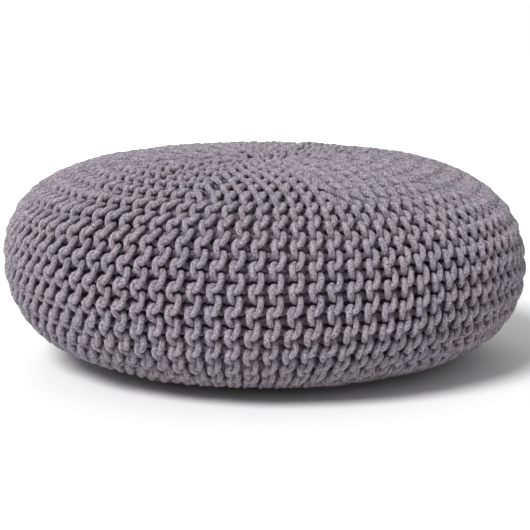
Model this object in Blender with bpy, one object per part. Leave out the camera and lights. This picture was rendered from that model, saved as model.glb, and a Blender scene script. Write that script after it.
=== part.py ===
"""Knitted pouf: a low, round floor cushion in a thick garter-stitch cover.

The cover is one knitted piece, drawn together at the middle of the crown and of the underside, and it
is filled until it is round. The model is one filled solid that reaches as far as the crests of the
knitted ridges. It stands on a flat foot, with its origin at the middle of the foot, +Z up.

Run with: blender --background --python part.py
"""

import math

import bmesh
import bpy
import numpy as np

# Driving sizes, in metres.
WIDTH = 0.700  # across the fullest part of the side
HEIGHT = 0.272  # from the floor to the highest stitches of the crown
GIRTH_HEIGHT = 0.133  # height of the fullest part
SIDE_BELOW = 0.136  # how deep the underside would be if the floor didn't flatten it

# The side is a superellipse above the girth and another below it.
# ((radius / half width) ** flatness + (rise / full rise) ** roundness = 1)
CROWN_FLATNESS, CROWN_ROUNDNESS = 4.3, 2.25
UNDERSIDE_FLATNESS, UNDERSIDE_ROUNDNESS = 4.8, 2.1

# Where the cover is drawn together in the middle of the crown.
GATHER_DEPTH = 0.010
GATHER_RADIUS = 0.022

# The cover is knitted as wedges that leave shallow channels where they meet on the crown.
WEDGES = 10
CHANNEL_DEPTH = 0.0030
CHANNEL_WIDTH = 0.009
CHANNEL_REACH = 0.24  # radius at which a channel has run out

# The filling has settled unevenly: the crown leans one way and the underside the other.
LEAN_X = 0.007  # sideways shift of the crown's middle from the girth, and of the foot the other way
# Each row is one swelling round the side: (lobes, height in metres, turn in degrees).
SWELLINGS = [
    (2, 0.0018, 95.0),
    (3, 0.0013, 70.0),
    (5, 0.0008, 10.0),
]

# How finely the solid is faceted.
SEGMENTS = 12 * WEDGES
RINGS = 27

COVER_COLOUR = (0.335, 0.300, 0.340, 1.0)
COVER_ROUGHNESS = 0.92


def clear_scene():
    for item in list(bpy.data.objects):
        bpy.data.objects.remove(item, do_unlink=True)


def superellipse_rise(radius, full_rise, flatness, roundness):
    """How far above or below the girth the surface lies at a radius."""
    share = np.clip(radius / (WIDTH / 2), 0.0, 1.0)
    return full_rise * (1.0 - share**flatness) ** (1.0 / roundness)


def outline():
    """(radius, height) of the rings, evenly spaced along the side from the crown's middle to the foot."""
    half_width = WIDTH / 2
    fine = half_width * np.sin(np.linspace(0.0, math.pi / 2, 2000)) ** 0.6
    above = GIRTH_HEIGHT + superellipse_rise(
        fine, HEIGHT - GIRTH_HEIGHT, CROWN_FLATNESS, CROWN_ROUNDNESS
    )
    above -= GATHER_DEPTH * np.exp(-((fine / GATHER_RADIUS) ** 2))
    below = GIRTH_HEIGHT - superellipse_rise(
        fine, SIDE_BELOW, UNDERSIDE_FLATNESS, UNDERSIDE_ROUNDNESS
    )
    off_floor = below > 0.0
    radius = np.concatenate([fine, fine[off_floor][::-1]])
    height = np.concatenate([above, below[off_floor][::-1]])
    height[-1] = 0.0
    steps = np.hypot(np.diff(radius), np.diff(height))
    along = np.concatenate([[0.0], np.cumsum(steps)])
    stops = np.linspace(0.0, along[-1], RINGS)
    return np.interp(stops, along, radius), np.interp(stops, along, height)


def channel_depth(radius, turn):
    """How far the crown sinks where two wedges meet, at a radius and an angle round the pouf."""
    wedge = 2 * math.pi / WEDGES
    from_channel = abs((turn + wedge / 2) % wedge - wedge / 2) * radius
    fade = max(0.0, 1.0 - (radius / CHANNEL_REACH) ** 4)
    start = 1.0 - math.exp(-((radius / GATHER_RADIUS) ** 2))
    return CHANNEL_DEPTH * fade * start * math.exp(-((from_channel / CHANNEL_WIDTH) ** 2))


def swelling(turn):
    """How far the side stands out at an angle round the pouf."""
    return sum(
        size * math.cos(lobes * turn + math.radians(start))
        for lobes, size, start in SWELLINGS
    )


def ring_points(radius, height, on_crown):
    """The corners of one ring, with the channels, the swellings and the lean."""
    share = radius / (WIDTH / 2)
    lean = LEAN_X * (height - GIRTH_HEIGHT) / GIRTH_HEIGHT
    points = []
    for step in range(SEGMENTS):
        turn = 2 * math.pi * step / SEGMENTS
        reach = radius + swelling(turn) * share**2
        sink = channel_depth(radius, turn) if on_crown else 0.0
        points.append(
            (reach * math.sin(turn) - lean, -reach * math.cos(turn), height - sink)
        )
    return points


def centre_on_origin(mesh):
    """Moves the mesh sideways until its box is centred over the origin."""
    middle = [
        (max(v.co[k] for v in mesh.verts) + min(v.co[k] for v in mesh.verts)) / 2
        for k in range(2)
    ]
    bmesh.ops.translate(mesh, verts=mesh.verts, vec=(-middle[0], -middle[1], 0.0))


def cover_material():
    material = bpy.data.materials.new("cotton_cord")
    material.use_nodes = True
    shader = material.node_tree.nodes["Principled BSDF"]
    shader.inputs["Base Color"].default_value = COVER_COLOUR
    shader.inputs["Roughness"].default_value = COVER_ROUGHNESS
    shader.inputs["Metallic"].default_value = 0.0
    return material


def build_cover():
    """The filled cover: rings of corners joined by quads, closed by the crown's middle and a flat foot."""
    radii, heights = outline()
    girth_ring = int(np.argmax(radii))
    mesh = bmesh.new()
    crown_middle = mesh.verts.new(
        (-LEAN_X * (heights[0] - GIRTH_HEIGHT) / GIRTH_HEIGHT, 0.0, heights[0])
    )
    rings = []
    for number in range(1, RINGS):
        corners = ring_points(radii[number], heights[number], number < girth_ring)
        rings.append([mesh.verts.new(corner) for corner in corners])
    for step in range(SEGMENTS):
        after = (step + 1) % SEGMENTS
        mesh.faces.new((crown_middle, rings[0][step], rings[0][after]))
        for upper, lower in zip(rings[:-1], rings[1:]):
            mesh.faces.new((upper[step], lower[step], lower[after], upper[after]))
    foot = mesh.faces.new(list(reversed(rings[-1])))
    centre_on_origin(mesh)
    bmesh.ops.recalc_face_normals(mesh, faces=mesh.faces)
    for face in mesh.faces:
        face.smooth = face is not foot
    data = bpy.data.meshes.new("knitted_pouf")
    mesh.to_mesh(data)
    mesh.free()
    data.materials.append(cover_material())
    cover = bpy.data.objects.new("knitted_pouf", data)
    bpy.context.scene.collection.objects.link(cover)
    return cover


clear_scene()
build_cover()
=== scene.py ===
"""A knitted pouf: a filled round body in a cover of thick cotton cord, knitted in garter stitch.

The cover's ridges run from the middle of the crown, down the side and under to the middle of the foot.
"""

import math

import bmesh
import bpy
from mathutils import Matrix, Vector


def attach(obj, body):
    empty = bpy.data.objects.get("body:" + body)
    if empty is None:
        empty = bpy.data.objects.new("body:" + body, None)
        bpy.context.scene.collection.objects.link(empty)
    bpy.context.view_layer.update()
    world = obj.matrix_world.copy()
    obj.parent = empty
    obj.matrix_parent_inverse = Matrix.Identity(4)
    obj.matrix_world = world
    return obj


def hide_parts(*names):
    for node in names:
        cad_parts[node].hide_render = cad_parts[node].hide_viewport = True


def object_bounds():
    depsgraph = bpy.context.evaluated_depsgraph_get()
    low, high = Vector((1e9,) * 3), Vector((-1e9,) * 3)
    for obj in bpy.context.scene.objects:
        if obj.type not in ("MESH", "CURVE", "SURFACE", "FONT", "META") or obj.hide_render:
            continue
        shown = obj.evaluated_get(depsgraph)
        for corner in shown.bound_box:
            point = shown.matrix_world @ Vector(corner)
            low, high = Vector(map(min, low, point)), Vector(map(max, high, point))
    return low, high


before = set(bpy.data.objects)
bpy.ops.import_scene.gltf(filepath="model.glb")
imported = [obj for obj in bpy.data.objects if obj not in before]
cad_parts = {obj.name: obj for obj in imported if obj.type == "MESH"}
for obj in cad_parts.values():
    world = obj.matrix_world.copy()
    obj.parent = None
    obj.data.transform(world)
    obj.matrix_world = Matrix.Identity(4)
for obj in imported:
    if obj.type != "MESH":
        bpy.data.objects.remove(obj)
cad_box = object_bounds()
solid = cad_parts["knitted_pouf"]

# The filled body
# What the cover is knitted to fit: a round cushion of plain cloth, painted dark as shade, filled firm, with a
# flat foot.
# Only a little of it shows, as the painted shade deep between the ridges, so it follows the solid, drawn in.

BODY_DEPTH = 0.0165  # how far the body lies inside the crests of the stitches
BODY_SMOOTHING = 6  # how many times its surface is evened out after that
MERGE_DISTANCE = 0.00001
# Painted shade: the cloth's dark tones stand in for the shade deep between the ridges.
SHADED_CLOTH_TONES = ((0.3, (0.047, 0.033, 0.047, 1.0)), (0.7, (0.128, 0.090, 0.129, 1.0)))
SLUB_SCALE = 420.0  # the slubs are the thicker places in its yarn
SLUB_HEIGHT = 0.0005


def linked(name, data):
    """A new object in the scene, made of the data."""
    piece = bpy.data.objects.new(name, data)
    bpy.context.scene.collection.objects.link(piece)
    return piece


def drawn_in_body():
    """A copy of the solid with its points moved inwards, and evened out where that crowds them."""
    mesh = bmesh.new()
    mesh.from_mesh(solid.data)
    bmesh.ops.remove_doubles(mesh, verts=mesh.verts, dist=MERGE_DISTANCE)
    mesh.normal_update()
    for vertex in mesh.verts:
        vertex.co -= vertex.normal * BODY_DEPTH
    every_way = {"use_axis_x": True, "use_axis_y": True, "use_axis_z": True}
    for _ in range(BODY_SMOOTHING):
        bmesh.ops.smooth_vert(mesh, verts=mesh.verts, factor=0.5, **every_way)
    for face in mesh.faces:
        face.smooth = True
    data = bpy.data.meshes.new("filled_body")
    mesh.to_mesh(data)
    mesh.free()
    return linked("filled_body", data)


def colour_ramp(tree, tones):
    """A node that turns a level into a colour, from two levels with their colours."""
    ramp = tree.nodes.new("ShaderNodeValToRGB")
    for stop, (level, colour) in zip(ramp.color_ramp.elements, tones):
        stop.position = level
        stop.color = colour
    return ramp


def shaded_body_cloth():
    """A dull, plain-woven cloth, a little uneven in its tone, painted dark as the shade deep between the
    ridges.
    """
    material = bpy.data.materials.new("shaded_body_cloth")
    material.use_nodes = True
    tree = material.node_tree
    nodes = tree.nodes
    links = tree.links
    shader = nodes["Principled BSDF"]
    shader.inputs["Roughness"].default_value = 0.95
    shader.inputs["Specular IOR Level"].default_value = 0.2
    place = nodes.new("ShaderNodeTexCoord")
    slubs = nodes.new("ShaderNodeTexNoise")
    slubs.inputs["Scale"].default_value = SLUB_SCALE
    slubs.inputs["Detail"].default_value = 3.0
    links.new(place.outputs["Object"], slubs.inputs["Vector"])
    # The cloth's dark tones are painted shade.
    tone = colour_ramp(tree, SHADED_CLOTH_TONES)
    links.new(slubs.outputs["Fac"], tone.inputs["Fac"])
    links.new(tone.outputs["Color"], shader.inputs["Base Color"])
    bump = nodes.new("ShaderNodeBump")
    bump.inputs["Strength"].default_value = 0.4
    bump.inputs["Distance"].default_value = SLUB_HEIGHT
    links.new(slubs.outputs["Fac"], bump.inputs["Height"])
    links.new(bump.outputs["Normal"], shader.inputs["Normal"])
    return material


body = drawn_in_body()
body.data.materials.append(shaded_body_cloth())
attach(body, "root")
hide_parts("knitted_pouf")

# The knitted cover
# One strip of garter stitch in soft round cotton cord, worked from side to side. Short rows make it ten
# wedges that fit together on the crown and underfoot, and the end stitches are drawn shut at both middles.

WEDGES = 10
ROWS = 18  # rows in a wedge; each pair of rows makes one raised ridge
STITCHES = 28  # stitches in the longest row
POINTS_PER_STITCH = 20
CORD_WIDTH = 0.0083
CORD_SIDES = 6  # few, because there are so many stitches; shading makes them look round
FIRST_WEDGE = math.radians(-20.0)  # where the first wedge's longest row lies, from the front
RIDGE_LEAN = 0.2  # how far round a ridge wanders, in radians for each metre down the side

# One stitch: the cord swings up and down the row, and across it, to make an arc on each face.
ALONG_SWING = 0.215  # in stitch lengths
ACROSS_SWING = 0.97  # in row widths
STITCH_SWAY = 0.12  # how far its two halves lean apart, round the pouf, in ridges
STITCH_TILT = 0.0014  # how far one half stands proud of the other

# How the cord passes through the knitting, for the arcs on the left and on the right of a ridge:
# half the knitting's thickness, how pointed the arcs are, and how far an arc's lower end stands proud.
LEFT_ARCS = (0.0087, 0.0017, -0.0008)
RIGHT_ARCS = (0.0096, -0.0002, 0.0014)

# The unevenness of hand knitting, as how fine it is and how far it moves the cord.
HAND_WANDER = (14.0, 0.0022)  # whole rows
HAND_JITTER = (55.0, 0.0015)  # single stitches

# The ends of the rows, most of them drawn together at the middles of the crown and the foot.
MIDDLE_GAP = 0.32  # how far from the middle the rows end, in stitches
NARROWEST = 0.7  # how many ridges wide a wedge still is there
EASE = 0.5  # how gradually a wedge reaches its full width, in ridges
NARROW_EASE = 0.3  # and how gradually its narrowest
MIDDLE_PULL = 0.0055  # how far the end stitches are pulled in
MIDDLE_SQUEEZE = 0.22  # how much of its thickness the cord loses there
MIDDLE_FADE = 0.35  # how fast both fade away from the middle
ROW_OVERLAP = 0.40  # how far a short row runs on past its wedge, in stitches
END_DIVE = 0.018  # how steeply its end turns inwards, in metres for each stitch
END_START = 0.1  # where that begins, in stitches before the wedge's edge

SIDE_STEPS = 180  # how many lengths the solid's side line is measured in
PROBE = 0.04  # how far out and in from that line the solid's surface is looked for
ROUNDING = 0.00002  # keeps a row's first point out of the row before it


class Field:
    """A number that a node tree works out at each point, so that a formula can be written as one."""

    def __init__(self, tree, socket):
        self.tree = tree
        self.socket = socket

    def of(self, operation, *others):
        node = self.tree.nodes.new("ShaderNodeMath")
        node.operation = operation
        for slot, term in zip(node.inputs, (self, *others)):
            if isinstance(term, Field):
                self.tree.links.new(term.socket, slot)
            else:
                slot.default_value = term
        return Field(self.tree, node.outputs[0])

    def __add__(self, other):
        return self.of("ADD", other)

    def __mul__(self, other):
        return self.of("MULTIPLY", other)

    def __sub__(self, other):
        return self.of("SUBTRACT", other)

    def __rsub__(self, other):
        return self * -1.0 + other

    def __truediv__(self, other):
        return self.of("DIVIDE", other)

    def sin(self):
        return self.of("SINE")

    def cos(self):
        return self.of("COSINE")


def add(tree, kind, settings=None, **inputs):
    """A node of a kind, with its settings, and its inputs linked from fields or set to values."""
    node = tree.nodes.new(kind)
    for name, value in (settings or {}).items():
        setattr(node, name, value)
    for name, value in inputs.items():
        label = name.rstrip("_").replace("_", " ")
        slot = next(s for s in node.inputs if s.enabled and s.name == label)
        if isinstance(value, Field):
            tree.links.new(value.socket, slot)
        elif isinstance(value, bpy.types.NodeSocket):
            tree.links.new(value, slot)
        else:
            slot.default_value = value
    return node


def vector(tree, x, y, z):
    return add(tree, "ShaderNodeCombineXYZ", X=x, Y=y, Z=z).outputs[0]


def parts(tree, value):
    node = add(tree, "ShaderNodeSeparateXYZ", Vector=value)
    return [Field(tree, out) for out in node.outputs]


def vector_sum(tree, first, second):
    node = tree.nodes.new("ShaderNodeVectorMath")
    tree.links.new(first, node.inputs[0])
    tree.links.new(second, node.inputs[1])
    return node.outputs[0]


def scaled(tree, value, factor):
    return add(tree, "ShaderNodeVectorMath", {"operation": "SCALE"}, Vector=value, Scale=factor).outputs[0]


def captured(tree, geometry, **fields):
    """The geometry with numbers kept on its points, as sockets by name."""
    node = tree.nodes.new("GeometryNodeCaptureAttribute")
    tree.links.new(geometry, node.inputs["Geometry"])
    for name, value in fields.items():
        node.capture_items.new("FLOAT", name)
        tree.links.new(value.socket if isinstance(value, Field) else value, node.inputs[name])
    return {out.name: out for out in node.outputs}


def side_profile(form):
    """The form's side as a line from the middle of the crown to the middle of the foot, turned to +X."""
    middle = Vector((0.0, 0.0, (cad_box[0][2] + cad_box[1][2]) / 2))
    line = []
    for step in range(SIDE_STEPS + 1):
        rise = math.pi * (0.5 - step / SIDE_STEPS)
        reach = 0.0
        height = 0.0
        for turn in range(WEDGES):
            around = 2 * math.pi * (turn + 0.5) / WEDGES
            level = math.cos(rise)
            away = Vector((level * math.cos(around), level * math.sin(around), math.sin(rise)))
            place = form.ray_cast(middle, away)[1]
            reach += math.hypot(place.x, place.y) / WEDGES
            height += place.z / WEDGES
        line.append((reach, 0.0, height))
    curve = bpy.data.curves.new("side_profile", "CURVE")
    curve.dimensions = "3D"
    spline = curve.splines.new("POLY")
    spline.points.add(len(line) - 1)
    for point, place in zip(spline.points, line):
        point.co = (*place, 1.0)
    length = sum((Vector(b) - Vector(a)).length for a, b in zip(line, line[1:]))
    return linked("side_profile", curve), length


def new_tree(name, inputs):
    """A Geometry Nodes tree that takes the named inputs and gives a geometry, and its input node."""
    tree = bpy.data.node_groups.new(name, "GeometryNodeTree")
    tree.interface.new_socket("Geometry", in_out="OUTPUT", socket_type="NodeSocketGeometry")
    for label, kind in inputs:
        tree.interface.new_socket(label, in_out="INPUT", socket_type="NodeSocket" + kind)
    return tree, tree.nodes.new("NodeGroupInput")


def knit_tree():
    """The tree that knits one wedge of the cover, row by row, on the solid."""
    tree, given = new_tree(
        "garter_stitch",
        [
            ("Profile", "Object"),
            ("Solid", "Object"),
            ("Side Length", "Float"),
            ("Rows", "Int"),
            ("Stitches", "Int"),
            ("Points per Stitch", "Int"),
            ("Wedge Angle", "Float"),
            ("Start Angle", "Float"),
            ("Cord Radius", "Float"),
            ("Seed", "Float"),
            ("Cord", "Material"),
        ],
    )
    take = {out.name: Field(tree, out) for out in given.outputs if out.name}
    side_length = take["Side Length"]
    stitches = take["Stitches"]

    # Every stitch of every row gets its points. A row is a stitch shorter than the one before it.
    columns = stitches * take["Points per Stitch"] + 1.0
    cloud = add(tree, "GeometryNodePoints", Count=columns * take["Rows"]).outputs[0]
    index = Field(tree, add(tree, "GeometryNodeInputIndex").outputs[0])
    row = (index / columns + ROUNDING).of("FLOOR")
    column = index - row * columns
    turns = column / take["Points per Stitch"]
    inside_wedge = turns.of("MINIMUM", stitches - turns) - row * 0.5

    # Where the cord is along and across the knitting. A wedge gains two rows, a ridge, with each stitch.
    phase = turns * (2 * math.pi)
    from_crown = turns + MIDDLE_GAP + (phase * 2).sin() * ALONG_SWING
    from_foot = stitches + 2 * MIDDLE_GAP - from_crown
    stitch_length = side_length / (stitches + 2 * MIDDLE_GAP)
    ridges = from_crown.of("SMOOTH_MIN", from_foot, EASE).of("SMOOTH_MIN", take["Rows"] * 0.5, EASE)
    ridges = ridges.of("SMOOTH_MAX", NARROWEST, NARROW_EASE)
    ridge = (row + 0.5 - phase.cos() * ACROSS_SWING) * 0.5 + phase.sin() * STITCH_SWAY

    # How deep it lies: odd rows have their right arcs on the outside, and even rows their left arcs.
    odd = row.of("MODULO", 2.0)
    half, point, twist = [odd * (right - left) + left for left, right in zip(LEFT_ARCS, RIGHT_ARCS)]
    lift = (phase.cos() * half + (phase * 3).cos() * point) * (1.0 - odd * 2.0)
    middle_depth = max(LEFT_ARCS[0] + LEFT_ARCS[1], RIGHT_ARCS[0] + RIGHT_ARCS[1])
    sunk = lift - (phase * 2).sin() * twist + (0.5 - phase.sin()) * STITCH_TILT + middle_depth
    sunk = sunk + (END_START - inside_wedge).of("MAXIMUM", 0.0) * END_DIVE
    depth = sunk + take["Cord Radius"]

    # The end stitches are drawn in towards both middles.
    near_crown = (from_crown * from_crown * -MIDDLE_FADE).of("EXPONENT")
    near_foot = (from_foot * from_foot * -MIDDLE_FADE).of("EXPONENT")
    down_side = from_crown * stitch_length - (near_crown - near_foot) * MIDDLE_PULL

    # The place on the side, turned about the upright axis.
    profile = add(tree, "GeometryNodeObjectInfo", {"transform_space": "RELATIVE"}, Object=take["Profile"])
    sample = add(
        tree,
        "GeometryNodeSampleCurve",
        {"mode": "LENGTH"},
        Curves=profile.outputs["Geometry"],
        Length=down_side,
    )
    reach, _, height = parts(tree, sample.outputs["Position"])
    out_run, _, down_run = parts(tree, sample.outputs["Tangent"])
    lean = (down_side - side_length * 0.5) * RIDGE_LEAN
    angle = take["Start Angle"] - take["Wedge Angle"] * ridge / ridges - lean
    sine = angle.sin()
    cosine = angle.cos()
    place = vector(tree, reach * sine, reach * cosine * -1.0, height)
    inward = vector(tree, down_run * sine * -1.0, down_run * cosine, out_run)
    inward = scaled(tree, inward, -1.0)

    # The solid's own surface there, because its filling has settled unevenly.
    target = add(tree, "GeometryNodeObjectInfo", {"transform_space": "RELATIVE"}, Object=take["Solid"])
    hit = add(
        tree,
        "GeometryNodeRaycast",
        Target_Geometry=target.outputs["Geometry"],
        Source_Position=vector_sum(tree, place, scaled(tree, inward, PROBE)),
        Ray_Direction=scaled(tree, inward, -1.0),
        Ray_Length=2 * PROBE,
    )
    on_solid = add(
        tree,
        "GeometryNodeSwitch",
        {"input_type": "VECTOR"},
        Switch=hit.outputs["Is Hit"],
        False_=place,
        True_=hit.outputs["Hit Position"],
    ).outputs[0]

    # The knitter's hand is uneven, and where the cover stands on the floor it is pressed flat.
    where = vector_sum(tree, on_solid, scaled(tree, inward, depth))
    own_place = vector_sum(tree, place, vector(tree, take["Seed"], take["Seed"] * 0.7, 0.0))
    for fineness, shift in (HAND_WANDER, HAND_JITTER):
        noise = add(tree, "ShaderNodeTexNoise", Vector=own_place, Scale=fineness, Detail=0.0)
        centred = vector_sum(tree, noise.outputs["Color"], vector(tree, -0.5, -0.5, -0.5))
        where = vector_sum(tree, where, scaled(tree, centred, 2 * shift))
    x, y, z = parts(tree, where)
    thickness = take["Cord Radius"] * (1.0 - (near_crown + near_foot) * MIDDLE_SQUEEZE)
    where = vector(tree, x, y, z.of("MAXIMUM", thickness))

    # Points to rows, and rows to round cord.
    placed = add(tree, "GeometryNodeSetPosition", Geometry=cloud, Position=where).outputs[0]
    # How deep each point lies is kept for the cord's material, which paints shade from it deep in the
    # knitting.
    known = captured(
        tree,
        placed,
        Thickness=thickness,
        Inside=sunk / (2 * middle_depth),
        Row=row,
        Column=column,
        Spare=inside_wedge,
    )
    cut = Field(tree, known["Spare"]).of("LESS_THAN", -ROW_OVERLAP)
    kept = add(tree, "GeometryNodeDeleteGeometry", Geometry=known["Geometry"], Selection=cut)
    rows = add(
        tree,
        "GeometryNodePointsToCurves",
        Points=kept.outputs[0],
        Curve_Group_ID=known["Row"],
        Weight=known["Column"],
    ).outputs[0]
    run = captured(tree, rows, Length=add(tree, "GeometryNodeSplineParameter").outputs["Length"])
    circle = add(tree, "GeometryNodeCurvePrimitiveCircle", Resolution=CORD_SIDES, Radius=1.0).outputs[0]
    around = captured(tree, circle, Turn=add(tree, "GeometryNodeSplineParameter").outputs["Factor"])
    cord = add(
        tree,
        "GeometryNodeCurveToMesh",
        Curve=run["Geometry"],
        Profile_Curve=around["Geometry"],
        Scale=known["Thickness"],
        Fill_Caps=True,
    ).outputs[0]

    # A map that unrolls the cord: its length in metres, and once around it from 0 to 1. The last side of
    # the tube ends where the first begins, so its far corners are put back from 0 to 1.
    turn = Field(tree, around["Turn"])
    on_face = add(tree, "GeometryNodeFieldOnDomain", {"domain": "FACE"}, Value=turn).outputs[0]
    unrolled = turn + (Field(tree, on_face) - turn).of("GREATER_THAN", 0.25)
    mapped = add(
        tree,
        "GeometryNodeStoreNamedAttribute",
        {"data_type": "FLOAT2", "domain": "CORNER"},
        Geometry=cord,
        Name="cord",
        Value=vector(tree, run["Length"], unrolled, 0.0),
    ).outputs[0]
    # The depth is stored for the material's painted shade deep in the knitting.
    marked = add(
        tree, "GeometryNodeStoreNamedAttribute", Geometry=mapped, Name="inside", Value=known["Inside"]
    ).outputs[0]
    smooth = add(tree, "GeometryNodeSetShadeSmooth", Geometry=marked).outputs[0]
    whole = add(tree, "GeometryNodeRealizeInstances", Geometry=smooth).outputs[0]
    coloured = add(tree, "GeometryNodeSetMaterial", Geometry=whole, Material=take["Cord"]).outputs[0]
    tree.links.new(coloured, tree.nodes.new("NodeGroupOutput").inputs[0])
    return tree


def grown(tree, name, values):
    """The plain mesh that a tree makes from the values of its named inputs."""
    seedling = linked(name, bpy.data.meshes.new(name))
    modifier = seedling.modifiers.new("nodes", "NODES")
    modifier.node_group = tree
    for item in tree.interface.items_tree:
        if item.in_out == "INPUT":
            modifier[item.identifier] = values[item.name]
    graph = bpy.context.evaluated_depsgraph_get()
    data = bpy.data.meshes.new_from_object(seedling.evaluated_get(graph))
    seedling.modifiers.remove(modifier)
    seedling.data = data
    data.name = name
    return seedling


# The cord itself is a small knitted tube: columns of V-shaped loops, in yarns of different tones.
LOOP_COLUMNS = 11
LOOP_HEIGHT = 0.0016
LOOP_SLOPE = 0.2  # how far a loop's arms rise from its foot, in loop heights
LOOP_RELIEF = 0.0012  # how far the loops' backs stand up from their grooves
FLECK_RELIEF = 0.8  # how far the flecks stand up, as a share of that
ROUND_SHARE = 0.65  # how much of the relief is the loops' round backs; the rest is the grooves between them
YARN_SHARE = 0.3  # how much of the tone is the yarns' own; the rest is their fibres'
YARN_TONES = ((0.30, (0.068, 0.052, 0.070, 1.0)), (0.70, (0.55, 0.500, 0.555, 1.0)))
DYE_TINTS = ((0.35, (0.97, 0.98, 1.03, 1.0)), (0.65, (1.03, 0.985, 1.0, 1.0)))
GROOVE_PAINTED_SHADE = 0.77  # painted shade: how much of the dyed tone shows in the loops' grooves
LOOP_PAINTED_LIGHT = 0.35  # painted light: how much more of it shows on their backs
DEPTH_PAINTED_SHADE = ((0.05, (1.0, 1.0, 1.0, 1.0)), (0.95, (0.40, 0.31, 0.39, 1.0)))  # painted shade, from the crests inwards
FIBRE_SCALE = 1100.0
DYE_SCALE = 22.0


def multiplied(tree, first, second):
    """A colour times another."""
    return add(
        tree,
        "ShaderNodeMix",
        {"data_type": "RGBA", "blend_type": "MULTIPLY"},
        Factor=1.0,
        A=first,
        B=second,
    ).outputs["Result"]


def tone_of(tree, level, tones):
    """The colour that a level stands for."""
    ramp = colour_ramp(tree, tones)
    tree.links.new(level, ramp.inputs["Fac"])
    return ramp.outputs["Color"]


def cotton_cord():
    """Soft, dull, mauve-grey cotton, with painted light on the loops' backs, painted shade in their grooves,
    and painted shade deep in the knitting.
    """
    material = bpy.data.materials.new("cotton_cord")
    material.use_nodes = True
    tree = material.node_tree
    shader = tree.nodes["Principled BSDF"]
    shader.inputs["Roughness"].default_value = 0.93
    shader.inputs["Specular IOR Level"].default_value = 0.25
    shader.inputs["Sheen Weight"].default_value = 0.15
    shader.inputs["Sheen Roughness"].default_value = 0.6

    # The loops, from the map that unrolls the cord. Each arm of each loop is a yarn with its own tone.
    run, turn, _ = parts(tree, add(tree, "ShaderNodeUVMap", {"uv_map": "cord"}).outputs[0])
    loop_turn = turn * LOOP_COLUMNS
    arm = (loop_turn.of("FRACT") - 0.5).of("ABSOLUTE") * 2.0
    loop_run = run / LOOP_HEIGHT + arm * LOOP_SLOPE
    round_back = (loop_run * (2 * math.pi)).cos() * -0.5 + 0.5
    groove = 1.0 - (arm * 2.0 - 1.0).of("ABSOLUTE").of("POWER", 4.0)
    loop_relief_and_shade = round_back * ROUND_SHARE + groove * (1 - ROUND_SHARE)
    own = vector(tree, loop_run.of("FLOOR"), (loop_turn * 2.0).of("FLOOR"), 0.0)
    yarn = Field(tree, add(tree, "ShaderNodeTexWhiteNoise", Vector=own).outputs["Value"])

    # The fibres and the dye, which don't follow the loops.
    place = add(tree, "ShaderNodeTexCoord").outputs["Object"]
    fibre = add(tree, "ShaderNodeTexNoise", Vector=place, Scale=FIBRE_SCALE, Detail=2.0, Roughness=0.6)
    dye = add(tree, "ShaderNodeTexNoise", Vector=place, Scale=DYE_SCALE, Detail=1.0)
    fleck = yarn * YARN_SHARE + Field(tree, fibre.outputs["Fac"]) * (1 - YARN_SHARE)
    inside = add(tree, "ShaderNodeAttribute", {"attribute_name": "inside"}).outputs["Fac"]

    tone = tone_of(tree, fleck.socket, YARN_TONES)
    tone = multiplied(tree, tone, tone_of(tree, dye.outputs["Fac"], DYE_TINTS))
    # Painted shade in the loops' grooves and painted light on their backs, from the loops' relief.
    tone = scaled(tree, tone, loop_relief_and_shade * LOOP_PAINTED_LIGHT + GROOVE_PAINTED_SHADE)
    # Painted shade deep in the knitting, darker the deeper the cord lies.
    tone = multiplied(tree, tone, tone_of(tree, inside, DEPTH_PAINTED_SHADE))
    tree.links.new(tone, shader.inputs["Base Color"])
    relief = loop_relief_and_shade + fleck * FLECK_RELIEF
    bump = add(tree, "ShaderNodeBump", Strength=0.8, Distance=LOOP_RELIEF, Height=relief)
    tree.links.new(bump.outputs[0], shader.inputs["Normal"])
    return material


form = linked("knitting_form", solid.data.copy())
bpy.context.view_layer.update()
profile, side_length = side_profile(form)
knitting = knit_tree()
cord = cotton_cord()
for wedge in range(WEDGES):
    piece = grown(
        knitting,
        f"knitted_wedge_{wedge + 1:02d}",
        {
            "Profile": profile,
            "Solid": form,
            "Side Length": side_length,
            "Rows": ROWS,
            "Stitches": STITCHES,
            "Points per Stitch": POINTS_PER_STITCH,
            "Wedge Angle": 2 * math.pi / WEDGES,
            "Start Angle": FIRST_WEDGE + 2 * math.pi * wedge / WEDGES,
            "Cord Radius": CORD_WIDTH / 2,
            "Seed": 3.0 * wedge,
            "Cord": cord,
        },
    )
    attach(piece, "root")
bpy.data.objects.remove(profile)
bpy.data.objects.remove(form)

# The studio
# A pale matt floor and a white surround, which lights the pouf softly from all sides. A broad sun from
# high on the left, on the camera's side, is the main light. Square lights fill in the right and the back.

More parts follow.
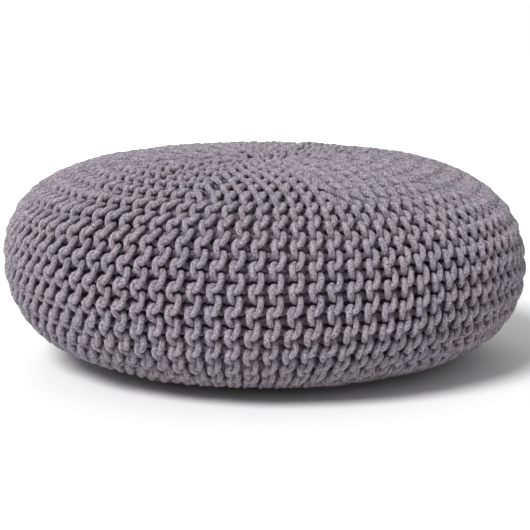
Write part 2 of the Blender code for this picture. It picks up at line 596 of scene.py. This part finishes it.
FLOOR_HALF = 6.0
FLOOR_COLOUR = (0.86, 0.86, 0.86, 1.0)
SURROUND_SEEN = 1.0  # how bright the surround looks
SURROUND_LIGHT = 0.47  # how brightly it lights the pouf
KEY_DIRECTION = (0.56, 0.7, -0.95)
KEY_STRENGTH = 3.5
KEY_WIDTH = math.radians(24.0)  # how wide the sun is in the sky, which softens its shadows
FILL_WIDTH = 1.6
FILL_LIGHTS = {"right_fill": ((1.8, -1.6, 1.2), 1.0), "back_fill": ((-0.3, 2.3, 0.8), 18.0)}
CAMERA_PLACE = (0.0, -2.348, 0.562)
LENS = 119.8  # millimetres, on a sensor SENSOR wide
SENSOR = 36.0
AIM = Vector((0.0, 0.0, 0.12))


def turned_to(way):
    """The turn that points a light or a camera along a direction."""
    return Vector(way).to_track_quat("-Z", "Y").to_euler()


floor_mesh = bpy.data.meshes.new("studio_floor")
corners = [(-1, -1), (1, -1), (1, 1), (-1, 1)]
floor_mesh.from_pydata([(x * FLOOR_HALF, y * FLOOR_HALF, 0.0) for x, y in corners], [], [(0, 1, 2, 3)])
floor = linked("studio_floor", floor_mesh)
floor_paint = bpy.data.materials.new("floor_paint")
floor_paint.use_nodes = True
floor_shader = floor_paint.node_tree.nodes["Principled BSDF"]
floor_shader.inputs["Base Color"].default_value = FLOOR_COLOUR
floor_shader.inputs["Roughness"].default_value = 0.8
floor.data.materials.append(floor_paint)

surround = bpy.data.worlds.new("white_surround")
surround.use_nodes = True
background = surround.node_tree.nodes["Background"]
background.inputs["Color"].default_value = (1.0, 1.0, 1.0, 1.0)
seen = Field(surround.node_tree, surround.node_tree.nodes.new("ShaderNodeLightPath").outputs["Is Camera Ray"])
strength = seen * (SURROUND_SEEN - SURROUND_LIGHT) + SURROUND_LIGHT
surround.node_tree.links.new(strength.socket, background.inputs["Strength"])
bpy.context.scene.world = surround

key_light = bpy.data.lights.new("key", "SUN")
key_light.energy = KEY_STRENGTH
key_light.angle = KEY_WIDTH
key = linked("key", key_light)
key.rotation_euler = turned_to(KEY_DIRECTION)

for name, (place, power) in FILL_LIGHTS.items():
    fill_light = bpy.data.lights.new(name, "AREA")
    fill_light.energy = power
    fill_light.size = FILL_WIDTH
    fill = linked(name, fill_light)
    fill.location = place
    fill.rotation_euler = turned_to(AIM - fill.location)

lens = bpy.data.cameras.new("camera")
lens.lens = LENS
lens.sensor_width = SENSOR
camera = linked("camera", lens)
camera.location = CAMERA_PLACE
camera.rotation_euler = turned_to(AIM - camera.location)
bpy.context.scene.camera = camera
bpy.context.scene.view_settings.view_transform = "Standard"
